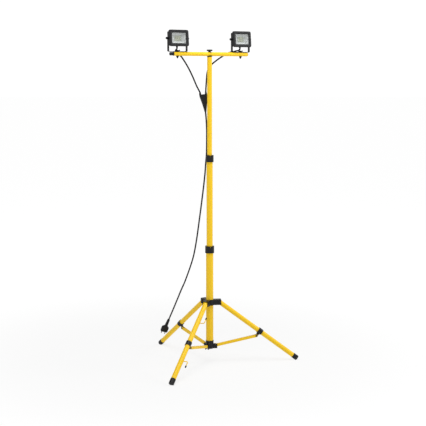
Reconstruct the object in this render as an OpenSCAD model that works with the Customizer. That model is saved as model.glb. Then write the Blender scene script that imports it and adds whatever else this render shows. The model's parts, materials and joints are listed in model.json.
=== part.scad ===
// Twin-lamp LED work light on a telescopic tripod stand.
// Millimetres, +Z up, floor at z = 0, lamps face -Y, cross bar along X.

/* [Mast] */
// Outside diameter of the lowest mast tube
base_tube_diameter = 38; // [34:1:44]
// Outside diameter of the middle mast tube
mid_tube_diameter = 32; // [28:1:36]
// Outside diameter of the top mast tube
top_tube_diameter = 25; // [20:1:28]
// Wall thickness of the mast tubes
tube_wall = 1.5; // [1:0.1:2]
// Height of the centre of the collar on the base tube
base_collar_height = 600; // [500:5:700]
// Height of the centre of the collar on the middle tube
mid_collar_height = 1071; // [900:1:1200]
// Length that each inner tube keeps inside the tube below it
tube_overlap = 70; // [50:5:120]

/* [Cross bar] */
// Height of the centre line of the cross bar
bar_height = 1600; // [1400:10:1800]
// Overall length of the cross bar with its end plugs
bar_length = 482; // [400:2:600]
// Outside diameter of the cross bar
bar_diameter = 20; // [16:1:25]
// Distance between the two lamp bolts
lamp_spacing = 394; // [300:2:480]

/* [Lamps] */
// Width of the lamp front frame
lamp_width = 115; // [100:1:140]
// Height of the lamp front frame
lamp_height = 81; // [70:1:100]
// Height of the tilt axis above the centre line of the bar
tilt_axis_rise = 76; // [70:1:95]
// Backward tilt of the lamps
lamp_tilt = 5; // [0:1:20]

/* [Legs] */
// Radius of the leg pivots from the mast axis
leg_pivot_radius = 49; // [46:1:60]
// Height of the leg pivots
leg_pivot_height = 323; // [300:1:350]
// Outside diameter of the leg tubes
leg_diameter = 25; // [20:1:28]
// Slope of the legs below the horizontal
leg_slope = 37.14; // [30:0.01:45]
// Distance from leg pivot to the middle of the foot cap
leg_length = 505.2; // [450:0.1:560]
// Distance from leg pivot to the middle of the brace clamp
clamp_distance = 271; // [240:1:300]
// Offset of the brace pivot below the leg axis
clamp_offset = 30; // [26:1:36]
// Length of a brace between its two pivots
brace_length = 218.49; // [200:0.01:240]
// Slope of the braces above the horizontal
brace_slope = 11.74; // [8:0.01:16]

/* [Cords] */
// Diameter of the rubber cords
cord_diameter = 8; // [6:0.5:9]

/* [Hidden] */
$fn = 48;
slack = 0.08;
tiny_gap = 0.3;
side_gap = 0.2;
cut = 1;
mast_y = -109;
leg_turns = [-30, 90, 210];
base_r = base_tube_diameter / 2;
mid_r = mid_tube_diameter / 2;
top_r = top_tube_diameter / 2;
bar_r = bar_diameter / 2;
leg_r = leg_diameter / 2;

// mast levels
hub_floor = 76;
hub_arm_top = 99;
hub_floor_top = 88;
hub_ring_top = 119;
base_collar_tall = 36;
mid_collar_tall = 35;
base_collar_r = 23.5;
mid_collar_r = 20.5;
throat_above = 6;
base_tube_top = base_collar_height + throat_above;
mid_tube_top = mid_collar_height + throat_above;
mid_tube_bottom = base_collar_height - tube_overlap;
top_tube_bottom = mid_collar_height - tube_overlap;
bush_tall = 28;
cap_flange_bottom = bar_height - 14;
cap_flange_tall = 5;
cap_flange_r = 12.9;
cap_plug_depth = 30;
top_tube_top = cap_flange_bottom;

// collar hand screws
screw_turn = 54;
screw_stud_r = 3;
screw_wheel_r = 9;
screw_wheel_long = 12;
screw_neck_less = 4;
screw_neck_from = 6;
screw_neck_to = 8.5;
screw_boss_r = 7;
screw_boss_out = 1.5;
screw_hole_out = 4;
notch_turn = 245;
notch_width = 4;
notch_deep = 9;
hub_screw_out = 2.5;

// cross bar fittings
bar_plug_face = 1.5;
bar_plug_grip = 18;
bar_plug_r = 9.6;
end_stub = 20;
end_stub_r = 8.4;
stud_r = 4.9;
stud_long = 40;
stud_bottom = bar_height - stud_long;
knob_neck_r = 7;
knob_neck_tall = 5;
knob_head_r = 15;
knob_head_tall = 8;

// lamp bolt and bracket
strip = 2.5;
strip_width = 15;
bracket_half = 56.5;
bolt_r = 3.95;
bolt_hole_r = 4;
bolt_below = 22;
wing_reach = 14;
wing_round = 3;
wing_rise = 4.5;
wing_thick = 3.6;
wing_flange_r = 8;
wing_flange_tall = 3;
wing_core_r = 5.5;
wing_core_tall = 7;
wing_turns = [-24, 156];
nut_tall = 6;
nut_r = 7.4;
pivot_screw_r = 3;
pivot_head_r = 6;
pivot_head_long = 11;
pivot_screw_bite = 2;
tilt_axis_z = bar_height + tilt_axis_rise;

// lamp head, measured from its tilt axis
frame_front = 18;
frame_back = 8.2;
frame_corner = 9;
window_width = 82;
window_height = 51;
window_corner = 3;
lip_thick = 3;
glass_width = 90;
glass_height = 59;
glass_thick = 3;
body_width = 101;
body_height = 70;
body_corner = 7;
body_back = 13;
body_wall = 5;
boss_thread_long = 12;
fin_depth = 8;
fin_count = 11;
fin_thick = 2;
fin_side_margin = 8;
fin_end_margin = 6;
boss_r = 9;
tray_near = lip_thick + glass_thick - frame_front;
tray_depth = 10;
tray_width = 88;
tray_height = 57;
tray_steps = [[82, 51, 2], [66, 40, 6]];
tray_hole = [48, 30];
board_near = tray_near + tray_depth;
board_thick = 1.6;
board_width = 60;
board_height = 40;
board_corner = 2;
light_width = 36;
light_height = 24;
light_thick = 1;
light_corner = 1;
gland_y = 8;
gland_r = 5.8;
gland_long = 11;
gland_nut_tall = 5;
gland_stem_r = 3.8;
gland_mouth_r = 4.3;
gland_cone_r = 5.1;

// upper hub
hub_up = 13;
hub_down = 15;
hub_tall = hub_up + hub_down;
hub_bottom = leg_pivot_height - hub_down;
hub_ring_r = 25.5;
arm_reach = 59;
arm_half = 15.3;
channel_half = 12.85;
web = 2.4;
rivet_r = 4;
rivet_head_r = 6.5;
rivet_head = 1.8;
eye_r = 10.2;
eye_run = 8;
tube_start = 4;
bore_start = 12;
ring_clear = 2;
hub_screw_turn = 42;
hub_wheel_r = 8;

// lower hub and braces
low_pivot_radius = 33;
low_pivot_height = 91;
low_ring_r = 20.5;
low_arm_reach = 39;
low_arm_half = 9;
low_gap_half = 5.7;
low_notch_from = 10;
brace_half = 5.5;
brace_tall = 14;
brace_wall = 1.5;
brace_open = 22;
brace_hole_r = 3.06;
small_rivet_r = 3;
small_head_r = 5;
clamp_r = 15.5;
clamp_long = 24;
ear_half = 3.8;
ear_r = 6.5;
foot_r = 13.5;
foot_above = 13;
foot_below = 16;
sole_thick = 8;
floor_block = 2000;

// cable hooks on the front leg
hook_r = 2.25;
hook_stem = 24;
hook_arm = 34;
hook_upper = 131;
hook_lower = 379;
hook_tip_r = 3.5;
hook_tip_long = 12;
hook_tip_end = 3;

// cord routes, from the mast axis
cord_r = cord_diameter / 2;
cord_sides = 10;
left_lead_way = [
  [-197, 4, 1628.1], [-197.2, 5.4, 1625], [-197.4, 11.5, 1620], [-196, 17, 1614], [-192.2, 18.9, 1608]
];
left_cord_way = [
  [-191, 19, 1606], [-182, 19.5, 1598], [-163, 20, 1589], [-136, 23, 1560], [-107, 29, 1525],
  [-77, 38, 1485], [-47, 50.5, 1444], [-16.5, 63.4, 1409.8]
];
right_lead_way = [
  [197, 4, 1628.1], [196.6, 5.4, 1625], [193.5, 10.5, 1620.5], [182, 15.7, 1617.8], [167.9, 16, 1614.7]
];
right_cord_way = [
  [166, 16, 1614], [138, 17, 1609], [114, 18, 1598.5], [92, 19, 1588], [62, 22, 1570], [37, 29.5, 1550],
  [21, 36, 1529], [14.5, 41.2, 1505], [12, 43.5, 1469], [10.5, 46, 1430], [10.2, 47.3, 1410.9]
];
upper_cord_way = [
  [0.5, 35.8, 1307], [0, 29, 1267], [0, 25, 1216], [0, 25, 1160], [0, 26, 1110], [0, 27.9, 1086]
];
lower_cord_way = [
  [0, 28, 1085], [0, 34, 1045], [0, 39.5, 998], [0, 51, 932], [0, 67, 854], [0, 92, 740], [0, 120, 622],
  [0, 153, 525], [0, 219, 404], [0, 260, 343], [0, 312, 262], [1.5, 343, 217], [5, 390, 152.7]
];
splitter_top = [-7.5, 52.5, 1398];
splitter_tip = [0.5, 36.5, 1311];
splitter_turn = -36.4;
splitter_deep = 15;
splitter_tip_half = 5;
splitter_mid_half = 13;
splitter_mid_height = 40;
splitter_low_side = -22.5;
splitter_high_side = 17.5;
splitter_shoulder = 8;
ferrule_places = [-17.5, 12];
ferrule_r = 6;
ferrule_tall = 14;
ferrule_mouth_r = 4.7;
tail_mouth_r = 4.5;
tail_tall = 6;
tail_below = 4;
plug_top = [5, 390, 152.7];
plug_roll = 31;
plug_slope = 56;
plug_relief_long = 52;
plug_relief_r = 7;
plug_relief_end_r = 9.5;
plug_body_long = 36;
plug_shoulder = 8;
plug_neck = 26;
plug_body_width = 40;
plug_body_deep = 20;
pin_r = 2.4;
pin_long = 19;
pin_spacing = 19;

yellow = [0.95, 0.78, 0.16];
black = [0.09, 0.09, 0.1];
steel = [0.7, 0.7, 0.72];

// Which node to draw

// moves a thing from the mast axis to its place in the row
module placed() {
  translate([0, mast_y, 0]) children();
}

module tube(r, wall, low, high) {
  difference() {
    translate([0, 0, low]) cylinder(r = r, h = high - low);
    translate([0, 0, low - cut]) cylinder(r = r - wall, h = high - low + 2 * cut);
  }
}

module ring(r, bore, low, high) {
  difference() {
    translate([0, 0, low]) cylinder(r = r, h = high - low);
    translate([0, 0, low - cut]) cylinder(r = bore, h = high - low + 2 * cut);
  }
}

module along_x(r, low, high) {
  translate([low, 0, 0]) rotate([0, 90, 0]) cylinder(r = r, h = high - low);
}

module across_y(r, half) {
  rotate([90, 0, 0]) cylinder(r = r, h = 2 * half, center = true);
}

// a plate lying in XZ with round corners, from y = near to y = far
module round_plate(width, height, corner, near, far) {
  translate([0, far, 0]) rotate([90, 0, 0]) linear_extrude(far - near) round_rect(width, height, corner);
}

module round_rect(width, height, corner) {
  square([width - 2 * corner, height], center = true);
  square([width, height - 2 * corner], center = true);
  for (x = [-1, 1], y = [-1, 1]) {
    translate([x * (width / 2 - corner), y * (height / 2 - corner)]) circle(r = corner);
  }
}

// mast tubes and their sleeves
module base_tube() {
  color(yellow) placed() tube(base_r, tube_wall, hub_floor_top, base_tube_top);
}

module mid_tube() {
  color(yellow) placed() tube(mid_r, tube_wall, mid_tube_bottom, mid_tube_top);
}

module top_tube() {
  color(yellow) placed() tube(top_r, tube_wall, top_tube_bottom, top_tube_top);
}

module mid_bush() {
  color(black) placed()
    ring(base_r - tube_wall - slack, mid_r, mid_tube_bottom, mid_tube_bottom + bush_tall);
}

module top_bush() {
  color(black) placed()
    ring(mid_r - tube_wall - slack, top_r, top_tube_bottom, top_tube_bottom + bush_tall);
}

// a moulded collar: it sits on the lower tube and the upper tube slides through its throat
module collar(r, lower_r, upper_r, middle, tall, seat) {
  difference() {
    union() {
      translate([0, 0, middle - tall / 2]) cylinder(r = r, h = tall);
      rotate([0, 0, screw_turn]) translate([0, 0, middle]) along_x(screw_boss_r, 0, r + screw_boss_out);
    }
    translate([0, 0, middle - tall / 2 - cut]) cylinder(r = lower_r, h = seat - middle + tall / 2 + cut);
    translate([0, 0, seat - cut]) cylinder(r = upper_r + slack, h = tall);
    rotate([0, 0, screw_turn]) translate([0, 0, middle])
      along_x(screw_stud_r + slack, 0, r + screw_hole_out);
    rotate([0, 0, notch_turn]) translate([0, -notch_width / 2, middle + tall / 2 - notch_deep])
      cube([2 * r, notch_width, 2 * notch_deep]);
  }
}

module collar_screw(from_r, middle, turn, wheel_r) {
  rotate([0, 0, turn]) translate([0, 0, middle]) {
    along_x(screw_stud_r, from_r, from_r + screw_neck_to);
    along_x(wheel_r - screw_neck_less, from_r + screw_neck_from, from_r + screw_neck_to);
    along_x(wheel_r, from_r + screw_neck_to - cut, from_r + screw_neck_to - cut + screw_wheel_long);
  }
}

module base_collar() {
  color(black) placed()
    collar(base_collar_r, base_r, mid_r, base_collar_height, base_collar_tall, base_tube_top);
}

module mid_collar() {
  color(black) placed()
    collar(mid_collar_r, mid_r, top_r, mid_collar_height, mid_collar_tall, mid_tube_top);
}

module base_collar_screw() {
  color(black) placed() collar_screw(base_r + tiny_gap, base_collar_height, screw_turn, screw_wheel_r);
}

module mid_collar_screw() {
  color(black) placed() collar_screw(mid_r + tiny_gap, mid_collar_height, screw_turn, screw_wheel_r);
}

// lower hub: a cup on the foot of the base tube with three open clevises
// and a notch at each so that the brace can pass under the tube
module lower_hub() {
  color(black) placed() {
    difference() {
      union() {
        translate([0, 0, hub_floor]) cylinder(r = low_ring_r, h = hub_ring_top - hub_floor);
        for (turn = leg_turns) rotate([0, 0, turn]) low_arm();
      }
      translate([0, 0, hub_floor_top]) cylinder(r = base_r, h = hub_ring_top);
      for (turn = leg_turns) rotate([0, 0, turn]) {
        translate([low_ring_r + cut, -low_gap_half, hub_floor - cut])
          cube([low_arm_reach, 2 * low_gap_half, hub_arm_top - hub_floor + 2 * cut]);
        translate([low_notch_from, -low_gap_half, hub_floor - cut])
          cube([low_arm_reach, 2 * low_gap_half, hub_floor_top - hub_floor]);
      }
    }
  }
}

module low_arm() {
  translate([0, -low_arm_half, hub_floor]) cube([low_arm_reach, 2 * low_arm_half, hub_arm_top - hub_floor]);
  for (side = [-1, 1]) {
    translate([low_pivot_radius, side * (low_arm_half + rivet_head / 2), low_pivot_height])
      across_y(small_head_r, rivet_head / 2);
  }
}

// upper hub: a sliding ring with three channel arms, open below and at the ends
module upper_hub() {
  color(black) placed() difference() {
    union() {
      translate([0, 0, hub_bottom]) cylinder(r = hub_ring_r, h = hub_tall);
      for (turn = leg_turns) rotate([0, 0, turn])
        translate([0, -arm_half, hub_bottom]) cube([arm_reach, 2 * arm_half, hub_tall]);
      rotate([0, 0, hub_screw_turn]) translate([0, 0, leg_pivot_height])
        along_x(screw_boss_r, 0, hub_ring_r + screw_boss_out);
    }
    translate([0, 0, hub_bottom - cut]) cylinder(r = base_r + slack, h = hub_tall + 2 * cut);
    for (turn = leg_turns) rotate([0, 0, turn]) {
      translate([hub_ring_r + ring_clear, -channel_half, hub_bottom - cut])
        cube([arm_reach, 2 * channel_half, hub_tall - web + cut]);
      translate([leg_pivot_radius, 0, leg_pivot_height]) across_y(rivet_r, arm_half + cut);
    }
    rotate([0, 0, hub_screw_turn]) translate([0, 0, leg_pivot_height])
      along_x(screw_stud_r + slack, 0, hub_ring_r + screw_hole_out);
  }
}

module leg_rivets() {
  color(black) placed() for (turn = leg_turns) rotate([0, 0, turn])
    translate([leg_pivot_radius, 0, leg_pivot_height]) {
      across_y(rivet_r, arm_half);
      for (side = [-1, 1]) translate([0, side * (arm_half + rivet_head / 2), 0])
        across_y(rivet_head_r, rivet_head / 2);
    }
}

module hub_screw() {
  color(black) placed() collar_screw(base_r + hub_screw_out, leg_pivot_height, hub_screw_turn, hub_wheel_r);
}

// a frame at a leg pivot: X runs down the leg and Z is its upper side
module on_leg(turn) {
  placed() rotate([0, 0, turn]) translate([leg_pivot_radius, 0, leg_pivot_height])
    rotate([0, leg_slope, 0]) children();
}

module leg(turn) {
  color(yellow) on_leg(turn) difference() {
    union() {
      along_x(leg_r, tube_start, leg_length + foot_below - sole_thick);
      intersection() {
        along_x(leg_r, -eye_r, eye_run);
        across_y(eye_r, leg_r + cut);
      }
    }
    along_x(leg_r - tube_wall, bore_start, leg_length + foot_below);
    across_y(rivet_r + slack, leg_r + cut);
  }
}

module leg_right() { leg(leg_turns[0]); }
module leg_back() { leg(leg_turns[1]); }
module leg_front() { leg(leg_turns[2]); }

// moulded clamp round the leg with an ear and the rivet that carries the brace
module clamp(turn) {
  color(black) on_leg(turn) translate([clamp_distance, 0, 0]) {
    difference() {
      union() {
        along_x(clamp_r, -clamp_long / 2, clamp_long / 2);
        translate([-ear_r, -ear_half, -clamp_offset]) cube([2 * ear_r, 2 * ear_half, clamp_offset]);
        translate([0, 0, -clamp_offset]) across_y(ear_r, ear_half);
      }
      along_x(leg_r, -clamp_long, clamp_long);
    }
    translate([0, 0, -clamp_offset]) {
      across_y(small_rivet_r, brace_half + side_gap);
      for (side = [-1, 1]) translate([0, side * (brace_half + side_gap + rivet_head / 2), 0])
        across_y(small_head_r, rivet_head / 2);
    }
  }
}

module clamp_right() { clamp(leg_turns[0]); }
module clamp_back() { clamp(leg_turns[1]); }
module clamp_front() { clamp(leg_turns[2]); }

// rubber foot cap, cut flat where it stands on the floor
module foot(turn) {
  color(black) difference() {
    on_leg(turn) difference() {
      along_x(foot_r, leg_length - foot_above, leg_length + foot_below);
      along_x(leg_r, leg_length - foot_above - cut, leg_length + foot_below - sole_thick);
    }
    translate([-floor_block / 2, -floor_block / 2, -floor_block]) cube(floor_block);
  }
}

module foot_right() { foot(leg_turns[0]); }
module foot_back() { foot(leg_turns[1]); }
module foot_front() { foot(leg_turns[2]); }

// a pressed channel between the lower hub and the ear of the clamp
module brace(turn) {
  color(yellow) placed() rotate([0, 0, turn]) translate([low_pivot_radius, 0, low_pivot_height])
    rotate([0, -brace_slope, 0]) difference() {
      union() {
        translate([0, -brace_half, -brace_tall / 2]) cube([brace_length, 2 * brace_half, brace_tall]);
        for (x = [0, brace_length]) translate([x, 0, 0]) across_y(brace_tall / 2, brace_half);
      }
      translate([-brace_tall, brace_wall - brace_half, -brace_tall])
        cube([brace_length + 2 * brace_tall, 2 * (brace_half - brace_wall), 1.5 * brace_tall - brace_wall]);
      translate([brace_length - brace_open, brace_wall - brace_half, -brace_tall])
        cube([2 * brace_open, 2 * (brace_half - brace_wall), 2 * brace_tall]);
      for (x = [0, brace_length]) translate([x, 0, 0]) across_y(brace_hole_r, brace_half + cut);
    }
}

module brace_right() { brace(leg_turns[0]); }
module brace_back() { brace(leg_turns[1]); }
module brace_front() { brace(leg_turns[2]); }

// bent rod hooks for winding up the cord
module hook(at, way) {
  translate([at, 0, 0]) difference() {
    union() {
      rotate([-90, 0, 0]) cylinder(r = hook_r, h = leg_r + hook_stem);
      translate([0, leg_r + hook_stem, 0]) sphere(r = hook_r);
      translate([0, leg_r + hook_stem, 0]) rotate([0, way * 90, 0]) cylinder(r = hook_r, h = hook_arm);
    }
    along_x(leg_r, -leg_r, leg_r);
  }
}

module cable_hooks() {
  color(yellow) on_leg(leg_turns[2]) {
    hook(hook_upper, -1);
    hook(hook_lower, 1);
  }
}

module hook_tip(at, way) {
  translate([at, leg_r + hook_stem, 0]) rotate([0, way * 90, 0])
    translate([0, 0, hook_arm - hook_tip_long + hook_tip_end]) difference() {
      cylinder(r = hook_tip_r, h = hook_tip_long);
      translate([0, 0, -cut]) cylinder(r = hook_r, h = hook_tip_long - hook_tip_end + cut);
    }
}

module hook_tips() {
  color(black) on_leg(leg_turns[2]) {
    hook_tip(hook_upper, -1);
    hook_tip(hook_lower, 1);
  }
}

// cross bar and what holds it on the mast
module cross_bar() {
  half = bar_length / 2 - bar_plug_face;
  color(yellow) placed() difference() {
    translate([0, 0, bar_height]) along_x(bar_r, end_stub - bar_length / 2, half);
    translate([0, 0, bar_height]) along_x(bar_r - tube_wall, -half - cut, half + cut);
    for (x = [-1, 1]) translate([x * lamp_spacing / 2, 0, bar_height - bar_diameter])
      cylinder(r = bolt_hole_r, h = 2 * bar_diameter);
    translate([0, 0, bar_height - bar_diameter]) cylinder(r = stud_r + slack, h = 2 * bar_diameter);
  }
}

module bar_end_plugs() {
  stub_from = bar_length / 2 - end_stub;
  color(black) placed() translate([0, 0, bar_height]) {
    along_x(bar_plug_r, bar_length / 2 - bar_plug_face, bar_length / 2);
    along_x(bar_r - tube_wall, bar_length / 2 - bar_plug_grip, bar_length / 2 - bar_plug_face);
    along_x(end_stub_r, -bar_length / 2, -stub_from);
    along_x(bar_r - tube_wall, -stub_from, bar_plug_grip - bar_plug_face - stub_from);
  }
}

module mast_cap() {
  color(black) placed() difference() {
    union() {
      translate([0, 0, cap_flange_bottom]) cylinder(r = cap_flange_r, h = cap_flange_tall);
      translate([0, 0, cap_flange_bottom - cap_plug_depth])
        cylinder(r = top_r - tube_wall, h = cap_plug_depth);
    }
    translate([0, 0, bar_height]) along_x(bar_r, -bar_diameter, bar_diameter);
    translate([0, 0, stud_bottom - cut]) cylinder(r = stud_r + slack, h = bar_height);
  }
}

module centre_knob() {
  crest = bar_height + bar_r;
  color(black) placed() {
    translate([0, 0, stud_bottom]) cylinder(r = stud_r, h = crest - stud_bottom + knob_neck_tall);
    translate([0, 0, crest]) cylinder(r = knob_neck_r, h = knob_neck_tall + cut);
    translate([0, 0, crest + knob_neck_tall]) cylinder(r = knob_head_r, h = knob_head_tall);
  }
}

// lamp mounting: side is -1 for the left lamp and 1 for the right
module at_lamp(side) {
  placed() translate([side * lamp_spacing / 2, 0, 0]) children();
}

// a frame on the tilt axis of a lamp, tipped back
module in_head(side) {
  at_lamp(side) translate([0, 0, tilt_axis_z]) rotate([-lamp_tilt, 0, 0]) children();
}

module bracket(side) {
  crest = bar_height + bar_r;
  color(black) at_lamp(side) difference() {
    union() {
      translate([-bracket_half, -strip_width / 2, crest]) cube([2 * bracket_half, strip_width, strip]);
      for (x = [-bracket_half, bracket_half - strip]) {
        translate([x, -strip_width / 2, crest]) cube([strip, strip_width, tilt_axis_z - crest]);
        translate([0, 0, tilt_axis_z]) along_x(strip_width / 2, x, x + strip);
      }
    }
    translate([0, 0, crest - cut]) cylinder(r = bolt_hole_r, h = strip + 2 * cut);
    translate([0, 0, tilt_axis_z]) along_x(pivot_screw_r + slack, -bracket_half - cut, bracket_half + cut);
  }
}

module bracket_left() { bracket(-1); }
module bracket_right() { bracket(1); }

// hand bolt with two raised wings
module wing_bolt(side) {
  seat = bar_height + bar_r + strip;
  color(black) at_lamp(side) {
    translate([0, 0, bar_height - bolt_below])
      cylinder(r = bolt_r, h = seat - bar_height + bolt_below + cut);
    translate([0, 0, seat]) cylinder(r = wing_flange_r, h = wing_flange_tall);
    translate([0, 0, seat]) cylinder(r = wing_core_r, h = wing_core_tall);
    for (turn = wing_turns) rotate([0, 0, turn]) {
      translate([wing_round, -wing_thick / 2, seat + cut])
        cube([wing_reach - 2 * wing_round, wing_thick, wing_rise]);
      translate([wing_reach - wing_round, 0, seat + wing_rise]) across_y(wing_round, wing_thick / 2);
    }
  }
}

module wing_bolt_left() { wing_bolt(-1); }
module wing_bolt_right() { wing_bolt(1); }

module bolt_nuts() {
  color(black) for (side = [-1, 1]) at_lamp(side) difference() {
    translate([0, 0, bar_height - bar_r - nut_tall]) cylinder(r = nut_r, h = nut_tall, $fn = 6);
    translate([0, 0, bar_height - bar_r - nut_tall - cut]) cylinder(r = bolt_hole_r, h = nut_tall + 2 * cut);
  }
}

// die-cast rear body with upright fins and a boss on each side
module lamp_body(side) {
  fin_step = (body_width - 2 * fin_side_margin) / (fin_count - 1);
  fin_start = fin_side_margin - body_width / 2 - fin_thick / 2;
  room_width = body_width - 2 * body_wall;
  room_height = body_height - 2 * body_wall;
  front_block = 2 * lamp_width;
  color(black) in_head(side) difference() {
    union() {
      round_plate(body_width, body_height, body_corner, -frame_back, body_back);
      for (n = [0 : fin_count - 1]) {
        translate([fin_start + n * fin_step, body_back - cut, fin_end_margin - body_height / 2])
          cube([fin_thick, fin_depth + cut, body_height - 2 * fin_end_margin]);
      }
      along_x(boss_r, side_gap - bracket_half + strip, bracket_half - strip - side_gap);
    }
    difference() {
      round_plate(room_width, room_height, window_corner, -frame_front, body_back - body_wall);
      round_plate(board_width, board_height, board_corner, board_near + board_thick, body_back);
    }
    translate([-lamp_width, -front_block - frame_back, -lamp_width]) cube(front_block);
    for (x = [-1, 1]) rotate([0, x * 90, 0])
      translate([0, 0, body_width / 2 - boss_thread_long])
        cylinder(r = pivot_screw_r, h = 2 * boss_thread_long);
    translate([0, gland_y, -body_height / 2 - cut]) cylinder(r = gland_stem_r, h = body_wall + 2 * cut);
  }
}

module lamp_body_left() { lamp_body(-1); }
module lamp_body_right() { lamp_body(1); }

// front frame: a lip round the window and a rebate behind it for the glass
module lamp_frame(side) {
  color(black) in_head(side) difference() {
    round_plate(lamp_width, lamp_height, frame_corner, -frame_front, -frame_back);
    round_plate(window_width, window_height, window_corner, -frame_front - cut, -frame_back);
    round_plate(glass_width, glass_height, window_corner, lip_thick - frame_front, -frame_back + cut);
  }
}

module lamp_frame_left() { lamp_frame(-1); }
module lamp_frame_right() { lamp_frame(1); }

module lamp_glass(side) {
  color([0.85, 0.9, 0.92]) in_head(side)
    round_plate(glass_width - tiny_gap, glass_height - tiny_gap, window_corner, lip_thick - frame_front,
      lip_thick + glass_thick - frame_front);
}

module lamp_glass_left() { lamp_glass(-1); }
module lamp_glass_right() { lamp_glass(1); }

// reflector tray with a window for the light board
module reflector(side) {
  color([0.85, 0.85, 0.84]) in_head(side) difference() {
    round_plate(tray_width, tray_height, window_corner, tray_near, tray_near + tray_depth);
    for (step = tray_steps)
      round_plate(step[0], step[1], window_corner, tray_near - cut, tray_near + step[2]);
    round_plate(tray_hole[0], tray_hole[1], window_corner, tray_near, board_near + cut);
  }
}

module reflector_left() { reflector(-1); }
module reflector_right() { reflector(1); }

module led_board(side) {
  color([0.9, 0.88, 0.6]) in_head(side) {
    round_plate(board_width, board_height, board_corner, board_near, board_near + board_thick);
    round_plate(light_width, light_height, light_corner, board_near - light_thick, board_near);
  }
}

module led_board_left() { led_board(-1); }
module led_board_right() { led_board(1); }

module tilt_screws(side) {
  color(black) in_head(side) for (x = [-1, 1]) rotate([0, x * 90, 0]) {
    translate([0, 0, body_width / 2 - pivot_screw_bite])
      cylinder(r = pivot_screw_r, h = bracket_half - body_width / 2 + 2 * pivot_screw_bite);
    translate([0, 0, bracket_half + side_gap]) cylinder(r = pivot_head_r, h = pivot_head_long);
  }
}

module tilt_screws_left() { tilt_screws(-1); }
module tilt_screws_right() { tilt_screws(1); }

module gland(side) {
  low = -body_height / 2;
  color(black) in_head(side) translate([0, gland_y, 0]) {
    translate([0, 0, low]) cylinder(r = gland_stem_r, h = body_wall);
    translate([0, 0, low - gland_nut_tall]) cylinder(r = gland_r, h = gland_nut_tall, $fn = 6);
    translate([0, 0, low - gland_long])
      cylinder(r1 = gland_mouth_r, r2 = gland_cone_r, h = gland_long - gland_nut_tall);
  }
}

module gland_left() { gland(-1); }
module gland_right() { gland(1); }

// smooth cord: points between the way points, then rings of points round them
function glide(way, n, t) =
  let (
    last = len(way) - 1,
    a = way[max(0, n - 1)],
    b = way[n],
    c = way[min(last, n + 1)],
    d = way[min(last, n + 2)]
  )
  0.5 * (2 * b + (c - a) * t + (2 * a - 5 * b + 4 * c - d) * t * t + (3 * b - a - 3 * c + d) * t * t * t);

function line_of(way, steps) = [
  for (n = [0 : len(way) - 2], k = [0 : steps - 1]) glide(way, n, k / steps),
  way[len(way) - 1]
];

function unit(v) = v / norm(v);

function ring_at(points, n, r, side) =
  let (
    last = len(points) - 1,
    along = unit(points[min(last, n + 1)] - points[max(0, n - 1)]),
    u = unit(cross(along, side)),
    v = cross(along, u)
  )
  [
    for (k = [0 : cord_sides - 1])
      points[n] + r * (cos(360 * k / cord_sides) * u + sin(360 * k / cord_sides) * v)
  ];

module cord(way, steps, side) {
  points = line_of(way, steps);
  count = len(points);
  skin = [for (n = [0 : count - 1]) each ring_at(points, n, cord_r, side)];
  walls = [
    for (n = [0 : count - 2], k = [0 : cord_sides - 1])
      let (a = n * cord_sides + k, b = n * cord_sides + (k + 1) % cord_sides)
      [a, b, b + cord_sides, a + cord_sides]
  ];
  near_end = [[for (k = [cord_sides - 1 : -1 : 0]) k]];
  far_end = [[for (k = [0 : cord_sides - 1]) (count - 1) * cord_sides + k]];
  color(black) placed() polyhedron(points = skin, faces = concat(walls, near_end, far_end));
}

module lead_left() { cord(left_lead_way, 2, [1, 0, 0]); }
module lead_right() { cord(right_lead_way, 2, [0, 1, 0]); }
module cord_left() { cord(left_cord_way, 1, [0, 1, 0]); }
module cord_right() { cord(right_cord_way, 1, [0, 1, 0]); }
module cord_upper() { cord(upper_cord_way, 2, [1, 0, 0]); }
module cord_lower() { cord(lower_cord_way, 2, [1, 0, 0]); }

// moulded Y-shaped splitter that joins the two lamp cords to the main cord
module splitter() {
  lean = atan2(splitter_top[1] - splitter_tip[1], splitter_top[2] - splitter_tip[2]);
  tall = splitter_top[2] - splitter_tip[2];
  color(black) placed() translate(splitter_tip) rotate([-lean, 0, 0]) rotate([0, 0, splitter_turn]) {
    rotate([90, 0, 0]) linear_extrude(height = splitter_deep, center = true)
      polygon([
        [-splitter_tip_half, 0], [splitter_tip_half, 0], [splitter_mid_half, splitter_mid_height],
        [splitter_high_side, tall - splitter_shoulder], [splitter_high_side, tall],
        [splitter_low_side, tall], [splitter_low_side, tall - splitter_shoulder],
        [-splitter_mid_half, splitter_mid_height]
      ]);
    translate([0, 0, -tail_below]) cylinder(r1 = tail_mouth_r, r2 = ferrule_r, h = tail_tall);
    for (x = ferrule_places)
      translate([x, 0, tall - 2 * cut]) cylinder(r1 = ferrule_r, r2 = ferrule_mouth_r, h = ferrule_tall);
  }
}

// two-pin mains plug: a tapered strain relief, a flat body and two pins
module in_plug() {
  placed() translate(plug_top) rotate([-(90 + plug_slope), 0, 0]) rotate([0, 0, plug_roll]) children();
}

module plug_body() {
  color(black) in_plug() {
    cylinder(r1 = plug_relief_r, r2 = plug_relief_end_r, h = plug_relief_long);
    translate([0, 0, plug_relief_long - cut]) rotate([90, 0, 0])
      linear_extrude(height = plug_body_deep, center = true) polygon([
        [-plug_neck / 2, 0], [plug_neck / 2, 0], [plug_body_width / 2, plug_shoulder],
        [plug_body_width / 2, plug_body_long], [-plug_body_width / 2, plug_body_long],
        [-plug_body_width / 2, plug_shoulder]
      ]);
  }
}

module plug_pins() {
  color(steel) in_plug() for (x = [-1, 1])
    translate([x * pin_spacing / 2, 0, plug_relief_long + plug_body_long - cut])
      cylinder(r = pin_r, h = pin_long);
}

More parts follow.
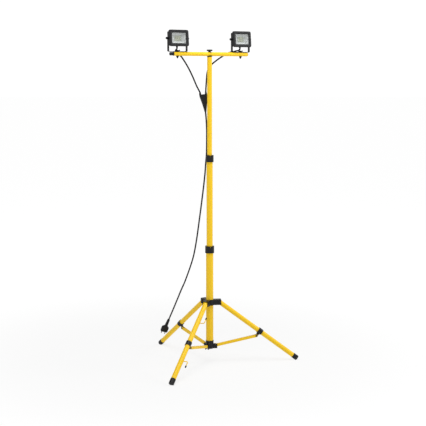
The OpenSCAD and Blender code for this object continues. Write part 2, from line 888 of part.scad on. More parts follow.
base_tube();
mid_tube();
top_tube();
mid_bush();
top_bush();
base_collar();
mid_collar();
base_collar_screw();
mid_collar_screw();
lower_hub();
upper_hub();
leg_rivets();
hub_screw();
leg_right();
leg_back();
leg_front();
clamp_right();
clamp_back();
clamp_front();
foot_right();
foot_back();
foot_front();
brace_right();
brace_back();
brace_front();
cable_hooks();
hook_tips();
cross_bar();
bar_end_plugs();
mast_cap();
centre_knob();
bracket_left();
bracket_right();
wing_bolt_left();
wing_bolt_right();
bolt_nuts();
lamp_body_left();
lamp_body_right();
lamp_frame_left();
lamp_frame_right();
lamp_glass_left();
lamp_glass_right();
reflector_left();
reflector_right();
led_board_left();
led_board_right();
tilt_screws_left();
tilt_screws_right();
gland_left();
gland_right();
lead_left();
lead_right();
cord_left();
cord_right();
splitter();
cord_upper();
cord_lower();
plug_body();
plug_pins();
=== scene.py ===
import bpy
import bmesh
import json
import math
from mathutils import Matrix, Vector


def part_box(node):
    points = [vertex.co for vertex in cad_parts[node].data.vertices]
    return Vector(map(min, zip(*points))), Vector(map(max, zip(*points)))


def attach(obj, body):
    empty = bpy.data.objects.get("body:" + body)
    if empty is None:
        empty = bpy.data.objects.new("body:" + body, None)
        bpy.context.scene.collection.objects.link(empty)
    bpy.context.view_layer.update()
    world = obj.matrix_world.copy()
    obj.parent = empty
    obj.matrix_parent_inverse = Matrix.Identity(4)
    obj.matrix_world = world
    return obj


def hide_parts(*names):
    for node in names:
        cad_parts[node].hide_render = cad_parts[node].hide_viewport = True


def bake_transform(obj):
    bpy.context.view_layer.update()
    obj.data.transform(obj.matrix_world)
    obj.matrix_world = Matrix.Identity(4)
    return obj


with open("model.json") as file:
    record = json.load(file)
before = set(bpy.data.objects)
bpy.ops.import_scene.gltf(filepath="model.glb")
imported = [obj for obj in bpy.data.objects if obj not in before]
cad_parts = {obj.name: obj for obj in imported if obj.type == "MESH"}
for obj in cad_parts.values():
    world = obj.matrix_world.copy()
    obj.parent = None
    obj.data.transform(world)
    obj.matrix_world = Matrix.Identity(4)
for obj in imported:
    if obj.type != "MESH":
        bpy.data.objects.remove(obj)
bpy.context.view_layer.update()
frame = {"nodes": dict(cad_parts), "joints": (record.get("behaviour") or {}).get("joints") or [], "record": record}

joints = {j["name"]: j for j in frame["joints"]}
MM = 0.001

# camera at the photo's angle: metres from the mast axis, then degrees
CAMERA_PLACE = (-3.27544, -4.46763, 1.5268)
CAMERA_LENS = 91.616
CAMERA_DOWN = 7.58
CAMERA_TURN = -36.426

# strength of the floor's own glow near the stand and far from it, and the radii between which it changes
GLOW_NEAR, GLOW_FAR = 0.82, 0.95
GLOW_FROM, GLOW_TO = 0.5, 2.6
# strength of the sky at the horizon and overhead, and the heights between which it changes
SKY_LOW, SKY_TOP = 1.06, 0.25
SKY_FROM, SKY_TO = 0.2, 0.42
KEY_POWER = 48
FILL_POWER = 8
TOP_POWER = 135


# ---------------------------------------------------------------- places from the CAD
def mid(node):
    lo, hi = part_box(node)
    return (lo + hi) / 2


MAST_Y = mid("base_tube").y
BAR_Z = mid("cross_bar").z
LAMP_X = {s: mid("bracket_" + s).x for s in ("left", "right")}
TILT = {s: Vector(joints["lamp_%s_tilt" % s]["pos_m"]) for s in ("left", "right")}
LEG_TURNS = {"right": -30.0, "back": 90.0, "front": 210.0}
LAMP_TILT = math.radians(5)
LEG_SLOPE = math.radians(37.14)
COLLAR_SCREW_TURN = 54.0
HUB_SCREW_TURN = 42.0
BRACKET_HALF = 55.25
BRACKET_TOP = 76.0
CORD_D = 8.0


def at(x, y, z):
    """A point given in millimetres from the mast axis."""
    return Vector((x * MM, y * MM + MAST_Y, z * MM))


# ---------------------------------------------------------------- camera
cam_data = bpy.data.cameras.new("camera")
cam_data.lens = CAMERA_LENS
cam_data.sensor_width = 36.0
cam_data.clip_start = 0.05
cam_data.clip_end = 60.0
camera = bpy.data.objects.new("camera", cam_data)
bpy.context.scene.collection.objects.link(camera)
camera.location = (CAMERA_PLACE[0], CAMERA_PLACE[1] + MAST_Y, CAMERA_PLACE[2])
camera.rotation_euler = (math.radians(90 - CAMERA_DOWN), 0.0, math.radians(CAMERA_TURN))
bpy.context.scene.camera = camera


# ---------------------------------------------------------------- materials
def node_of(tree, kind, **inputs):
    """A new node with values on its input sockets."""
    n = tree.nodes.new(kind)
    for k, v in inputs.items():
        n.inputs[k].default_value = v
    return n


ROUGH_VARY = 0.05
DRIFT_SCALE = 6.0
GLOSS_SCALE = 38.0
GRAIN_DEPTH = 0.0004


def surface(name, color, rough, vary, metallic=0.0, grain=900.0, bump=0.05, shine=0.4):
    """A painted, moulded or metal surface: slight colour drift, uneven gloss and a fine grain."""
    m = bpy.data.materials.new(name)
    m.use_nodes = True
    t = m.node_tree
    b = t.nodes["Principled BSDF"]
    b.inputs["Metallic"].default_value = metallic
    b.inputs["Specular IOR Level"].default_value = shine
    place = t.nodes.new("ShaderNodeTexCoord")
    drift = node_of(t, "ShaderNodeTexNoise", Scale=DRIFT_SCALE, Detail=3.0)
    t.links.new(place.outputs["Object"], drift.inputs["Vector"])
    tint = t.nodes.new("ShaderNodeValToRGB")
    tint.color_ramp.elements[0].position = 0.3
    tint.color_ramp.elements[1].position = 0.7
    tint.color_ramp.elements[0].color = tuple(c * (1 - vary) for c in color) + (1.0,)
    tint.color_ramp.elements[1].color = tuple(min(1.0, c * (1 + vary)) for c in color) + (1.0,)
    t.links.new(drift.outputs["Fac"], tint.inputs["Fac"])
    t.links.new(tint.outputs["Color"], b.inputs["Base Color"])
    gloss = node_of(t, "ShaderNodeTexNoise", Scale=GLOSS_SCALE, Detail=4.0)
    t.links.new(place.outputs["Object"], gloss.inputs["Vector"])
    spread = t.nodes.new("ShaderNodeMapRange")
    spread.inputs["To Min"].default_value = rough - ROUGH_VARY
    spread.inputs["To Max"].default_value = rough + ROUGH_VARY
    t.links.new(gloss.outputs["Fac"], spread.inputs["Value"])
    t.links.new(spread.outputs["Result"], b.inputs["Roughness"])
    skin = node_of(t, "ShaderNodeTexNoise", Scale=grain, Detail=2.0)
    t.links.new(place.outputs["Object"], skin.inputs["Vector"])
    lift = node_of(t, "ShaderNodeBump", Strength=bump, Distance=GRAIN_DEPTH)
    t.links.new(skin.outputs["Fac"], lift.inputs["Height"])
    t.links.new(lift.outputs["Normal"], b.inputs["Normal"])
    return m


def plain(name, color, rough):
    """One even colour, for pieces too small to show any texture and for the floor."""
    m = bpy.data.materials.new(name)
    m.use_nodes = True
    b = m.node_tree.nodes["Principled BSDF"]
    b.inputs["Base Color"].default_value = tuple(color) + (1.0,)
    b.inputs["Roughness"].default_value = rough
    return m


def clear_glass(name):
    """Thin clear glass with a faint reflection that is the same at every angle."""
    m = bpy.data.materials.new(name)
    m.use_nodes = True
    t = m.node_tree
    out = t.nodes["Material Output"]
    t.nodes.remove(t.nodes["Principled BSDF"])
    through = node_of(t, "ShaderNodeBsdfTransparent", Color=(0.93, 0.95, 0.95, 1.0))
    shine = node_of(t, "ShaderNodeBsdfGlossy", Color=(1.0, 1.0, 1.0, 1.0), Roughness=0.05)
    both = t.nodes.new("ShaderNodeMixShader")
    both.inputs[0].default_value = 0.04
    t.links.new(through.outputs["BSDF"], both.inputs[1])
    t.links.new(shine.outputs["BSDF"], both.inputs[2])
    t.links.new(both.outputs["Shader"], out.inputs["Surface"])
    return m


MATS = {
    "yellow_steel": surface(
        "yellow paint", (0.8, 0.51, 0.013), 0.36, vary=0.01, grain=700.0, bump=0.02, shine=0.22,
    ),
    "black_plastic": surface(
        "black moulded plastic", (0.007, 0.007, 0.008), 0.4, vary=0.1, grain=1400.0, bump=0.12, shine=0.22,
    ),
    "black_rubber": surface(
        "black rubber", (0.007, 0.007, 0.008), 0.52, vary=0.12, grain=1100.0, bump=0.15, shine=0.22,
    ),
    "black_steel": surface(
        "black coated steel", (0.006, 0.006, 0.007), 0.34, vary=0.08, grain=900.0, bump=0.08, shine=0.22,
    ),
    "black_cast": surface(
        "black powder coat", (0.009, 0.009, 0.01), 0.48, vary=0.1, grain=1300.0, bump=0.25, shine=0.25,
    ),
    "bright_steel": surface(
        "bright steel", (0.62, 0.62, 0.63), 0.26, metallic=1.0, vary=0.05, grain=600.0, bump=0.03,
    ),
    "reflector_white": surface(
        "hammered reflector", (0.58, 0.56, 0.55), 0.7, vary=0.06, grain=420.0, bump=0.08, shine=0.1,
    ),
    "lamp_glass": clear_glass("tempered glass"),
    "led_board": plain("board white", (0.42, 0.42, 0.39), 0.5),
    "contact_metal": surface("nickel plate", (0.2, 0.19, 0.18), 0.38, metallic=0.9, vary=0.05),
    "led_yellow": plain("phosphor", (0.44, 0.42, 0.24), 0.45),
}


# ---------------------------------------------------------------- mesh helpers
def link(name, bm, smooth=40.0):
    """A new object with smooth shading, but for edges sharper than the angle in degrees."""
    bmesh.ops.recalc_face_normals(bm, faces=bm.faces)
    me = bpy.data.meshes.new(name)
    bm.to_mesh(me)
    bm.free()
    o = bpy.data.objects.new(name, me)
    bpy.context.scene.collection.objects.link(o)
    me.polygons.foreach_set("use_smooth", [True] * len(me.polygons))
    me.set_sharp_from_angle(angle=math.radians(smooth))
    return o


def soften(bm, width, segments, angle=30.0):
    """Rounds every edge sharper than the angle in degrees; the width is in metres."""
    limit = math.radians(angle)
    edges = [e for e in bm.edges if len(e.link_faces) == 2 and e.calc_face_angle(0.0) > limit]
    if edges:
        bmesh.ops.bevel(
            bm, geom=edges, offset=width, offset_type="OFFSET", segments=segments, profile=0.5,
            affect="EDGES", clamp_overlap=True,
        )


def loft(rings, wrap=False):
    """A skin over rings of points with a cap at both ends, or with the last ring joined to the first."""
    bm = bmesh.new()
    rows = [[bm.verts.new(p) for p in r] for r in rings]
    pairs = list(zip(rows, rows[1:])) + ([(rows[-1], rows[0])] if wrap else [])
    for a, b in pairs:
        n = len(a)
        for k in range(n):
            bm.faces.new((a[k], a[(k + 1) % n], b[(k + 1) % n], b[k]))
    if not wrap:
        bm.faces.new(list(reversed(rows[0])))
        bm.faces.new(rows[-1])
    return bm


def lathe(profile, steps, flutes=0, depth=0.0, band=(0, 0)):
    """Turns (radius, height) pairs, in millimetres, about Z. Flutes cut a grip into the rows within band."""
    rings = []
    for n, (r, z) in enumerate(profile):
        ring = []
        for k in range(steps):
            a = 2 * math.pi * k / steps
            rr = r
            if flutes and band[0] <= n <= band[1]:
                rr = r - depth * (0.5 - 0.5 * math.cos(flutes * a)) ** 2
            ring.append(Vector((rr * MM * math.cos(a), rr * MM * math.sin(a), z * MM)))
        rings.append(ring)
    return loft(rings)


def rounded(points, cut, rounds):
    """Rounds the corners of a closed outline of (a, b) points."""
    out = []
    n = len(points)
    for k in range(n):
        p0, p1, p2 = Vector(points[k - 1]), Vector(points[k]), Vector(points[(k + 1) % n])
        c = min(cut, (p0 - p1).length * 0.48, (p2 - p1).length * 0.48)
        a = p1 + (p0 - p1).normalized() * c
        b = p1 + (p2 - p1).normalized() * c
        for s in range(rounds + 1):
            t = s / rounds
            out.append(tuple((1 - t) ** 2 * a + 2 * t * (1 - t) * p1 + t * t * b))
    return out


def rounded_rectangle(w, h, r, steps):
    """Outline of a rectangle with round corners about the origin, as (a, b) pairs."""
    pts = []
    for sa, sb, start in ((1, 1, 0), (-1, 1, 90), (-1, -1, 180), (1, -1, 270)):
        for k in range(steps + 1):
            turned = math.radians(start + 90 * k / steps)
            pts.append((sa * (w / 2 - r) + r * math.cos(turned), sb * (h / 2 - r) + r * math.sin(turned)))
    return pts


def upright_ring(w, h, r, y):
    """A rounded rectangle in the XZ plane at depth y, all in millimetres."""
    return [Vector((a * MM, y * MM, b * MM)) for a, b in rounded_rectangle(w, h, r, 6)]


def flat_ring(w, h, r, z):
    """A rounded rectangle in the XY plane at height z, all in millimetres."""
    return [Vector((a * MM, b * MM, z * MM)) for a, b in rounded_rectangle(w, h, r, 5)]


def block(x, y, z, soft, segments=2):
    """A box between (low, high) pairs in millimetres with rounded edges."""
    bm = bmesh.new()
    bmesh.ops.create_cube(bm, size=1.0)
    for v in bm.verts:
        v.co = Vector([ends[0 if c < 0 else 1] * MM for c, ends in zip(v.co, (x, y, z))])
    soften(bm, soft * MM, segments)
    return bm


def moved(bm, m):
    bm.transform(m)
    return bm


def merged(*bms):
    """Several meshes as one."""
    first = bms[0]
    for b in bms[1:]:
        me = bpy.data.meshes.new("part")
        b.to_mesh(me)
        b.free()
        first.from_mesh(me)
        bpy.data.meshes.remove(me)
    return first


def turn(axis, degrees):
    return Matrix.Rotation(math.radians(degrees), 4, axis)


def shift(x, y, z):
    return Matrix.Translation((x * MM, y * MM, z * MM))


TO_X = Matrix.Rotation(math.radians(90), 4, "Y")
ON_MAST = Matrix.Translation((0, MAST_Y, 0))


def on_leg(which):
    """Leg frame: X down the leg, Z its upper side, origin at the pivot."""
    pivot = Vector(joints["leg_%s_hinge" % which]["pos_m"])
    return Matrix.Translation(pivot) @ turn("Z", LEG_TURNS[which]) @ Matrix.Rotation(LEG_SLOPE, 4, "Y")


def in_head(side):
    """Lamp frame: origin on the tilt axis, the window towards -Y."""
    return Matrix.Translation(TILT[side]) @ Matrix.Rotation(-LAMP_TILT, 4, "X")


def put(name, bm, body, material, stands_for=None, smooth=40.0, place=None):
    """Finishes a piece: places it, gives it its material and body, and hides the node that it stands for."""
    if place is not None:
        moved(bm, place)
    o = link(name, bm, smooth)
    o.data.materials.append(MATS[material])
    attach(o, body)
    if stands_for:
        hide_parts(stands_for)
    return o


BODY_OF = {n: b for b, ns in frame["record"]["behaviour"]["bodies"].items() for n in ns}
SLOT_OF = {s["node"]: s["material_slot"] for s in frame["record"]["subparts"]}


# weld distance in metres, and the angles in degrees below which faces merge and above which edges are rounded
WELD = 1e-6
FLAT_ANGLE = 0.6
HARD_ANGLE = 32.0


def fine(node, width, segments=2):
    """The CAD node itself with every hard edge rounded by the width in millimetres."""
    bm = bmesh.new()
    bm.from_mesh(frame["nodes"][node].data)
    bmesh.ops.remove_doubles(bm, verts=bm.verts, dist=WELD)
    bmesh.ops.dissolve_limit(bm, angle_limit=math.radians(FLAT_ANGLE), verts=bm.verts, edges=bm.edges)
    soften(bm, width * MM, segments, HARD_ANGLE)
    bmesh.ops.remove_doubles(bm, verts=bm.verts, dist=WELD)
    o = put(node + "_fine", bm, BODY_OF[node], SLOT_OF[node], node)
    even_out = o.modifiers.new("even shading", "WEIGHTED_NORMAL")
    even_out.keep_sharp = True


# ---------------------------------------------------------------- cords
# steps of the smooth line between two way points, and the gaps between the rings of cords and leads in millimetres
GLIDE_STEPS = 12
CORD_GAP = 6.0
LEAD_GAP = 3.0


def glide(way):
    """A smooth line through the way points."""
    p = [Vector(w) for w in way]
    out = []
    for n in range(len(p) - 1):
        a, b, c, d = p[max(0, n - 1)], p[n], p[n + 1], p[min(len(p) - 1, n + 2)]
        for k in range(GLIDE_STEPS):
            t = k / GLIDE_STEPS
            second, third = 2 * a - 5 * b + 4 * c - d, 3 * b - a - 3 * c + d
            out.append(0.5 * (2 * b + (c - a) * t + second * t * t + third * t ** 3))
    out.append(p[-1])
    return out


def even(line, gap):
    """The same line with evenly spaced points."""
    run = [0.0]
    for a, b in zip(line, line[1:]):
        run.append(run[-1] + (b - a).length)
    count = max(2, round(run[-1] / gap))
    out = []
    k = 0
    for n in range(count + 1):
        want = run[-1] * n / count
        while k < len(run) - 2 and run[k + 1] < want:
            k += 1
        span = run[k + 1] - run[k]
        out.append(line[k].lerp(line[k + 1], 0 if span == 0 else (want - run[k]) / span))
    return out


def ring_frames(line):
    """Axes carried along the line without twist."""
    tangents = []
    for n in range(len(line)):
        tangents.append((line[min(n + 1, len(line) - 1)] - line[max(n - 1, 0)]).normalized())
    u = tangents[0].orthogonal().normalized()
    out = []
    for t in tangents:
        u = (u - t * u.dot(t)).normalized()
        out.append((u.copy(), t.cross(u)))
    return out


def cord_rings(line, sides=14, r=CORD_D / 2 * MM):
    """Rings of points round the line."""
    turns = [2 * math.pi * k / sides for k in range(sides)]
    return [
        [p + r * (math.cos(a) * u + math.sin(a) * v) for a in turns]
        for p, (u, v) in zip(line, ring_frames(line))
    ]


def route(way):
    return [at(*p) for p in even(glide(way), CORD_GAP)]


# way points in millimetres from the mast axis, each cord from its lamp or splitter on
WAYS = {
    "lead_left": [
        (-197, 4, 1629.8), (-197.1, 5.2, 1625.2), (-197.4, 11.5, 1620), (-196, 17, 1614), (-191, 19, 1606),
    ],
    "cord_left": [
        (-191, 19, 1606), (-182, 19.5, 1598), (-163, 20, 1589), (-136, 23, 1560), (-107, 29, 1525),
        (-77, 38, 1485), (-47, 50.5, 1444), (-13.6, 64.6, 1406.5),
    ],
    "lead_right": [
        (197, 4, 1629.8), (196.8, 5.2, 1625.2), (193.5, 10.5, 1620.5), (182, 15.7, 1617.8), (166, 16, 1614),
    ],
    "cord_right": [
        (166, 16, 1614), (138, 17, 1609), (114, 18, 1598.5), (92, 19, 1588), (62, 22, 1570), (37, 29.5, 1550),
        (21, 36, 1529), (14.5, 41.2, 1505), (12, 43.5, 1469), (10.5, 46, 1430), (10.2, 47.4, 1409.7),
    ],
    "cord_upper": [
        (0.5, 35.8, 1307), (0, 29, 1267), (0, 25, 1216), (0, 25, 1160), (0, 26, 1110), (0, 28, 1085),
    ],
    "cord_lower": [
        (0, 28, 1085), (0, 34, 1045), (0, 39.5, 998), (0, 51, 932), (0, 67, 854), (0, 92, 740), (0, 120, 622),
        (0, 153, 525), (0, 219, 404), (0, 260, 343), (0, 312, 262), (1.5, 343, 217), (5, 390, 152.7),
    ],
}


def tube(name, rings):
    """A stretch of cord over its rings."""
    o = link(name, loft(rings), 60.0)
    o.data.materials.append(MATS["black_rubber"])
    return o


def lamp_cord(side):
    """One smooth run from the gland to the splitter, cut where it crosses the tilt axis and the swivel."""
    lead, run = WAYS["lead_" + side], WAYS["cord_" + side]
    smooth = glide(lead + run[1:])
    split = GLIDE_STEPS * (len(lead) - 1)
    first = even(smooth[: split + 1], LEAD_GAP)
    rest = even(smooth[split:], CORD_GAP)
    line = [at(*p) for p in first + rest[1:]]
    rings = cord_rings(line)
    half, whole = len(first) // 2, len(first) - 1
    a = tube("cord_%s_tail" % side, rings[: half + 1])
    b = tube("cord_%s_turn" % side, rings[half: whole + 1])
    c = tube("cord_%s_run" % side, rings[whole:])
    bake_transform(a)
    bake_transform(b)
    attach(c, "top_mast")
    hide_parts("lead_" + side)
    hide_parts("cord_" + side)


lamp_cord("left")
lamp_cord("right")
upper = route(WAYS["cord_upper"])
lower = route(WAYS["cord_lower"])
main_rings = cord_rings(upper + lower[1:])
cut_at = len(upper) - 1
cord_upper = tube("main_cord_upper", main_rings[: cut_at + 1])
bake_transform(cord_upper)
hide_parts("cord_upper")
cord_lower = tube("main_cord_lower", main_rings[cut_at:])
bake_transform(cord_lower)
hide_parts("cord_lower")


# ---------------------------------------------------------------- mains plug
PLUG_LEAN = 90 + 56
PLUG_ROLL = 31
PIN_X = 9.5
RELIEF_RIBS, RIB_PITCH, RIB_WIDENS = 9, 5.2, 0.27
IN_PLUG = Matrix.Translation(at(*WAYS["cord_lower"][-1])) @ turn("X", -PLUG_LEAN) @ turn("Z", PLUG_ROLL)
relief = [(4.8, -2), (6.9, -1.2), (7.1, 2.6), (6.0, 3)]
for n in range(RELIEF_RIBS):
    z, r = 4.0 + n * RIB_PITCH, 7.0 + n * RIB_WIDENS
    relief += [(r - 1.1, z - 0.2), (r, z), (r + 0.1, z + 1.4), (r + 0.1, z + 3.0), (r - 1.1, z + 3.4)]
relief += [(9.2, 50.5), (9.5, 52), (9.2, 54)]
plug_rings = [
    flat_ring(24, 18, 8, 50.6), flat_ring(26, 19.2, 8, 51.6), flat_ring(33, 19.2, 7, 55.4),
    flat_ring(39, 19.2, 6.5, 58.6), flat_ring(40, 19.2, 6.5, 61), flat_ring(40, 19.2, 6.5, 80),
    flat_ring(38.5, 18.2, 5.8, 86.4), flat_ring(36, 16, 5, 88),
]
grips = [block((-14, 14), (-10, 10), (z, z + 2), 0.3) for z in (63, 69, 75)]
plug_shell = merged(lathe(relief, 32), loft(plug_rings), *grips)
plug = put("plug_shell", plug_shell, "base", "black_rubber", "plug_body", smooth=50, place=IN_PLUG)
pin_rows = [(2.3, 85), (2.3, 104), (2.1, 105.2), (1.5, 105.9), (0.5, 106)]
sleeve_rows = [(2.35, 86), (2.4, 97.6), (2.3, 98)]
pins = merged(*[moved(lathe(pin_rows, 24), shift(x, 0, 0)) for x in (-PIN_X, PIN_X)])
sleeves = merged(*[moved(lathe(sleeve_rows, 24), shift(x, 0, 0)) for x in (-PIN_X, PIN_X)])
plug_metal = put(
    "plug_contacts", pins, "base", "contact_metal", "plug_pins", smooth=50, place=IN_PLUG,
)
plug_sleeves = put("plug_pin_sleeves", sleeves, "base", "black_rubber", smooth=50, place=IN_PLUG)


# ---------------------------------------------------------------- lamp heads
def bezel():
    """Front frame with a rounded rim and a step down to the glass."""
    return loft([
        upright_ring(115, 81, 9, -8.2), upright_ring(115, 81, 9, -14.8),
        upright_ring(114.3, 80.3, 8.7, -16.6), upright_ring(112.8, 78.8, 8.0, -17.6),
        upright_ring(110.6, 76.6, 7.0, -18), upright_ring(89, 58, 4.5, -18),
        upright_ring(87.6, 56.6, 4.0, -17.7), upright_ring(83.4, 52.4, 2.8, -15.9),
        upright_ring(82, 51, 2.4, -15.2), upright_ring(82, 51, 2.4, -15),
        upright_ring(90, 59, 3, -15), upright_ring(90, 59, 3, -8.2),
    ], wrap=True)


def tray():
    """Reflector: a shallow tray that slopes from the glass to the board."""
    return loft([
        upright_ring(88, 57, 3, -2), upright_ring(88, 57, 3, -12), upright_ring(84, 53, 3, -12),
        upright_ring(82.5, 51.5, 3, -11.4), upright_ring(68, 41, 3, -5.4), upright_ring(66, 39.6, 3, -4.9),
        upright_ring(64, 38.4, 3, -4.8), upright_ring(50, 31.4, 2.5, -2.4), upright_ring(48, 30, 2.4, -2),
    ], wrap=True)


CHIP_COLS, CHIP_ROWS, CHIP_PITCH, CHIP_HALF = 6, 4, 6, 1.9


def light_block():
    """White board, and the grid of chips on it."""
    plate = block((-30, 30), (-2, -0.4), (-20, 20), 0.15, 1)
    chips = []
    for col in range(CHIP_COLS):
        for row in range(CHIP_ROWS):
            x = -(CHIP_COLS - 1) * CHIP_PITCH // 2 + col * CHIP_PITCH
            z = -(CHIP_ROWS - 1) * CHIP_PITCH // 2 + row * CHIP_PITCH
            chips.append(block(
                (x - CHIP_HALF, x + CHIP_HALF), (-2.9, -1.9), (z - CHIP_HALF, z + CHIP_HALF), 0.25, 1,
            ))
    return plate, merged(*chips)


def strip_path():
    """Centre line of the U strip in XZ, with bent corners."""
    half, foot, r = BRACKET_HALF, 11.25, 5.0
    pts = [(-half, BRACKET_TOP), (-half, foot + r)]
    for k in range(1, 6):
        a = math.radians(180 + 90 * k / 6)
        pts.append((-half + r + r * math.cos(a), foot + r + r * math.sin(a)))
    pts += [(-half + r, foot), (half - r, foot)]
    for k in range(1, 6):
        a = math.radians(270 + 90 * k / 6)
        pts.append((half - r + r * math.cos(a), foot + r + r * math.sin(a)))
    pts += [(half, foot + r), (half, BRACKET_TOP)]
    return [Vector((x, 0, z)) for x, z in pts]


# section of the strip as (across, along its width) points
STRIP_SECTION = (
    (-1.25, -7.1), (-0.85, -7.5), (0.85, -7.5), (1.25, -7.1), (1.25, 7.1), (0.85, 7.5), (-0.85, 7.5), (-1.25, 7.1),
)


def u_strip():
    """U bracket: the bent strip, an eye at each end and the washer on its foot."""
    line = strip_path()
    rings = []
    for n, p in enumerate(line):
        t = (line[min(n + 1, len(line) - 1)] - line[max(n - 1, 0)]).normalized()
        if n in (0, len(line) - 1):
            t = Vector((0, 0, -1 if n == 0 else 1))
        side = Vector((-t.z, 0, t.x))
        rings.append([(p + side * a + Vector((0, b, 0))) * MM for a, b in STRIP_SECTION])
    bm = loft(rings)
    for s in (-1, 1):
        eye = lathe([(7.1, -1.25), (7.5, -0.85), (7.5, 0.85), (7.1, 1.25)], 40)
        moved(eye, shift(s * BRACKET_HALF, 0, BRACKET_TOP) @ TO_X)
        merged(bm, eye)
    washer = moved(lathe([(8.2, 0), (8.6, 0.3), (8.6, 1.2), (8.2, 1.5)], 32), shift(0, 0, 12.5))
    return merged(bm, washer)


def thread(r, low, high):
    """Rows of a lathe profile with shallow ridges."""
    pitch, depth = 1.25, 0.35
    rows = []
    z = low
    while z < high - 0.01:
        rows += [(r - depth, z), (r, z + pitch * 0.5)]
        z += pitch
    return rows + [(r - depth, high)]


def wing():
    """One raised wing of the hand bolt, in XZ, thickened along Y."""
    outline = rounded([(2.5, 1.0), (9, 0.5), (13.4, 2.6), (14, 7.2), (10.4, 7.4), (8, 5.6), (2.5, 5.4)], 1.6, 4)
    bm = bmesh.new()
    for y in (-1.8, 1.8):
        bm.faces.new([bm.verts.new(Vector((x * MM, y * MM, z * MM))) for x, z in outline])
    n = len(outline)
    a, b = [list(f.verts) for f in bm.faces]
    for k in range(n):
        bm.faces.new((a[k], a[(k + 1) % n], b[(k + 1) % n], b[k]))
    bmesh.ops.recalc_face_normals(bm, faces=bm.faces)
    soften(bm, 0.7 * MM, 2, 50)
    return bm


WING_TURNS = (-24, 156)
# profiles of the turned pieces as (radius, height) pairs in millimetres
COVER_SCREW = [(2.2, 0), (2.2, 0.5), (1.7, 0.8), (0.7, 0.8), (0.6, 0.3)]
TILT_SCREW = [
    (3.0, 48.5), (3.0, 56.6), (5.2, 56.7), (5.7, 57.4), (6.0, 58.4), (6.0, 65.6), (5.5, 67.0), (4.2, 67.7),
    (1.5, 67.7),
]
GLAND_NUT = [(5.2, -40), (5.7, -39.6), (5.7, -35.4), (5.2, -35)]
GLAND_CONE = [
    (3.9, -46), (4.3, -45.7), (4.4, -44.6), (3.9, -44.4), (3.9, -43.8), (4.7, -43.6), (4.8, -42.4), (4.3, -42.2),
    (4.3, -41.6), (5.1, -41.4), (5.1, -40), (3.8, -40), (3.8, -31),
]
HAND_BOLT = thread(3.9, -22, -10) + [
    (3.5, -9.9), (3.5, 14), (7.6, 14.05), (8.0, 14.5), (8.0, 15.1), (7.5, 15.6), (5.7, 15.8), (5.5, 17),
    (5.4, 18.6), (4.6, 19.4), (2.0, 19.5),
]

for side in ("left", "right"):
    lamp, yoke = "lamp_" + side, "yoke_" + side
    head = in_head(side)
    put("bezel_" + side, bezel(), lamp, "black_cast", "lamp_frame_" + side, smooth=35, place=head)
    put("tray_" + side, tray(), lamp, "reflector_white", "reflector_" + side, smooth=25, place=head)
    plate, chips = light_block()
    put("board_plate_" + side, plate, lamp, "led_board", "led_board_" + side, place=head)
    put("board_chips_" + side, chips, lamp, "led_yellow", place=head)
    fine("lamp_body_" + side, 0.5)
    fine("lamp_glass_" + side, 0.3, 1)
    # cover screw under the window
    under_window = head @ shift(0, -17.8, -34) @ turn("X", 90)
    put("cover_screw_" + side, lathe(COVER_SCREW, 20), lamp, "black_steel", place=under_window)
    # tilt screws with grip heads
    heads = []
    for half_turn in (180, 0):
        grip = lathe(TILT_SCREW, 60, flutes=10, depth=0.8, band=(4, 6))
        heads.append(moved(grip, turn("Z", half_turn) @ TO_X))
    put(
        "tilt_heads_" + side, merged(*heads), lamp, "black_steel", "tilt_screws_" + side, smooth=50, place=head,
    )
    # cable gland with a six-sided nut
    gland = merged(lathe(GLAND_NUT, 6), lathe(GLAND_CONE, 32))
    put("gland_fine_" + side, gland, lamp, "black_plastic", "gland_" + side, place=head @ shift(0, 8, 0))
    # bracket and hand bolt
    at_bar = Matrix.Translation((LAMP_X[side], MAST_Y, BAR_Z))
    put("u_strip_" + side, u_strip(), yoke, "black_steel", "bracket_" + side, smooth=50, place=at_bar)
    bolt = lathe(HAND_BOLT, 32)
    for a in WING_TURNS:
        merged(bolt, moved(wing(), turn("Z", a) @ shift(0, 0, 12.6)))
    put(
        "hand_bolt_" + side, bolt, "bolt_" + side, "black_plastic", "wing_bolt_" + side, smooth=50, place=at_bar,
    )


# ---------------------------------------------------------------- hand screws and knob
def hand_screw(name, body, node, from_r, z, angle, wheel_r):
    """A fluted wheel on a shank that starts from_r out from the mast axis, at height z, all in millimetres."""
    rows = [
        (2.7, from_r), (3.0, from_r + 0.3), (3.0, from_r + 6), (4.6, from_r + 6.1), (5.0, from_r + 6.6),
        (5.0, from_r + 7.6), (wheel_r - 1.4, from_r + 7.7), (wheel_r - 0.4, from_r + 8.3),
        (wheel_r, from_r + 9.4), (wheel_r, from_r + 17),
        (wheel_r - 0.4, from_r + 18.2), (wheel_r - 1.6, from_r + 19.1), (wheel_r - 3.2, from_r + 19.5),
        (wheel_r - 4.0, from_r + 19.0), (1.2, from_r + 18.8),
    ]
    bm = lathe(rows, 64, flutes=8, depth=1.7, band=(7, 11))
    place = ON_MAST @ turn("Z", angle) @ shift(0, 0, z) @ TO_X
    put(name, bm, body, "black_plastic", node, smooth=50, place=place)


def height_of(joint):
    return joints[joint]["pos_m"][2] * 1000


